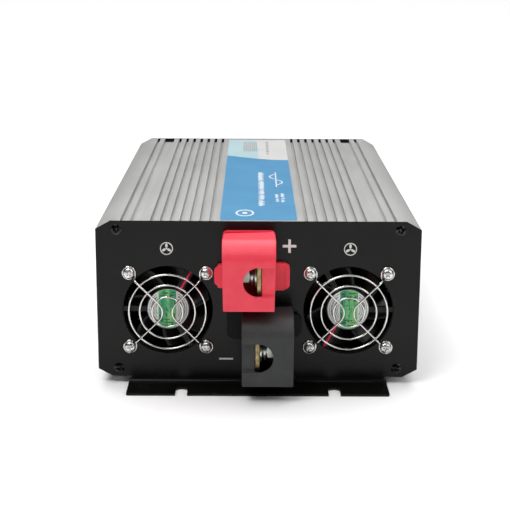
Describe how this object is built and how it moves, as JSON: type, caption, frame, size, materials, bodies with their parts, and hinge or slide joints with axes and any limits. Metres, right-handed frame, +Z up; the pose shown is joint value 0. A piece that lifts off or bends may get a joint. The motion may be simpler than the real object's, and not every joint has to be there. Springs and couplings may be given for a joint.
{
  "type": "power inverter",
  "caption": "Box-shaped DC to AC power inverter: ribbed aluminium case, folded steel end plates with slotted feet, guarded fans and covered battery terminals.",
  "frame": {"origin": "on the floor, at the centre of the whole object's footprint", "axes": "+X to the right seen from the terminal end, +Y from the terminal end to the mains outlet end, +Z up"},
  "size_m": [0.21, 0.401, 0.1101],
  "materials": {
    "case_aluminium": "satin anodised, extruded",
    "black_sheet": "satin black powder coat",
    "black_screw": "black oxide",
    "label_film": "printed film",
    "white_print": "screen print",
    "fan_plastic": "moulded black",
    "copper_coil": "enamelled copper",
    "bronze": "sintered bronze",
    "bright_steel": "bright nickel plate",
    "steel_shaft": "ground",
    "fan_sticker": "printed film",
    "red_wire": "insulation",
    "red_cover": "soft moulded",
    "black_cover": "soft moulded",
    "red_base": "moulded",
    "black_base": "moulded",
    "brass_bar": "rolled",
    "plated_steel": "zinc plate",
    "circuit_board": "solder mask",
    "standoff_brass": "turned",
    "capacitor_sleeve": "shrunk film",
    "ferrite": "sintered",
    "winding_tape": "tape",
    "powder_core": "epoxy coat",
    "transistor_resin": "moulded resin",
    "outlet_plastic": "moulded",
    "switch_plastic": "moulded",
    "lamp_lens": "clear dome"
  },
  "bodies": {
    "case": {"upper_case_shell": "case_aluminium", "lower_case_shell": "case_aluminium", "front_end_plate": "black_sheet", "rear_end_plate": "black_sheet", "front_plate_screws": "black_screw", "rear_plate_screws": "black_screw", "top_label": "label_film", "front_panel_marks": "white_print", "left_fan_frame": "fan_plastic", "left_fan_stator": "copper_coil", "left_fan_bearing": "bronze", "left_fan_label": "fan_sticker", "left_fan_leads": "red_wire", "left_fan_guard": "bright_steel", "right_fan_frame": "fan_plastic", "right_fan_stator": "copper_coil", "right_fan_bearing": "bronze", "right_fan_label": "fan_sticker", "right_fan_leads": "red_wire", "right_fan_guard": "bright_steel", "fan_screws": "bright_steel", "fan_nuts": "plated_steel", "positive_terminal_base": "red_base", "positive_terminal_bar": "brass_bar", "positive_terminal_stud": "plated_steel", "positive_terminal_nut": "plated_steel", "positive_terminal_washers": "plated_steel", "negative_terminal_base": "black_base", "negative_terminal_bar": "brass_bar", "negative_terminal_stud": "plated_steel", "negative_terminal_nut": "plated_steel", "negative_terminal_washers": "plated_steel", "terminal_base_screws": "plated_steel", "main_circuit_board": "circuit_board", "board_standoffs": "standoff_brass", "board_screws": "plated_steel", "input_capacitors": "capacitor_sleeve", "transformer_cores": "ferrite", "transformer_windings": "winding_tape", "output_capacitors": "capacitor_sleeve", "inductor_core": "powder_core", "inductor_winding": "copper_coil", "control_board": "circuit_board", "power_transistors": "transistor_resin", "transistor_clamps": "plated_steel", "clamp_screws": "plated_steel", "mains_outlets": "outlet_plastic", "outlet_contacts": "brass_bar", "power_switch_body": "switch_plastic", "indicator_lights": "lamp_lens", "earth_screw": "brass_bar"},
    "left_impeller": {"left_fan_impeller": "fan_plastic", "left_fan_shaft": "steel_shaft"},
    "right_impeller": {"right_fan_impeller": "fan_plastic", "right_fan_shaft": "steel_shaft"},
    "positive_cover": {"positive_terminal_cover": "red_cover"},
    "negative_cover": {"negative_terminal_cover": "black_cover"},
    "switch_rocker": {"power_switch_rocker": "switch_plastic"}
  },
  "joints": [
    {"name": "left_fan_spin", "type": "hinge", "parent": "case", "child": "left_impeller", "pos_m": [-0.0588, -0.1525, 0.0506], "axis": [0, 1, 0], "continuous": true},
    {"name": "right_fan_spin", "type": "hinge", "parent": "case", "child": "right_impeller", "pos_m": [0.0588, -0.1525, 0.0506], "axis": [0, 1, 0], "continuous": true},
    {"name": "positive_cover_pull", "type": "slide", "parent": "case", "child": "positive_cover", "axis": [0, -1, 0], "range_m": [0, 0.05]},
    {"name": "negative_cover_pull", "type": "slide", "parent": "case", "child": "negative_cover", "axis": [0, -1, 0], "range_m": [0, 0.05]},
    {"name": "power_switch_rock", "type": "hinge", "parent": "case", "child": "switch_rocker", "pos_m": [0.034, 0.174, 0.0653], "axis": [-1, 0, 0], "range_deg": [0, 18]}
  ]
}
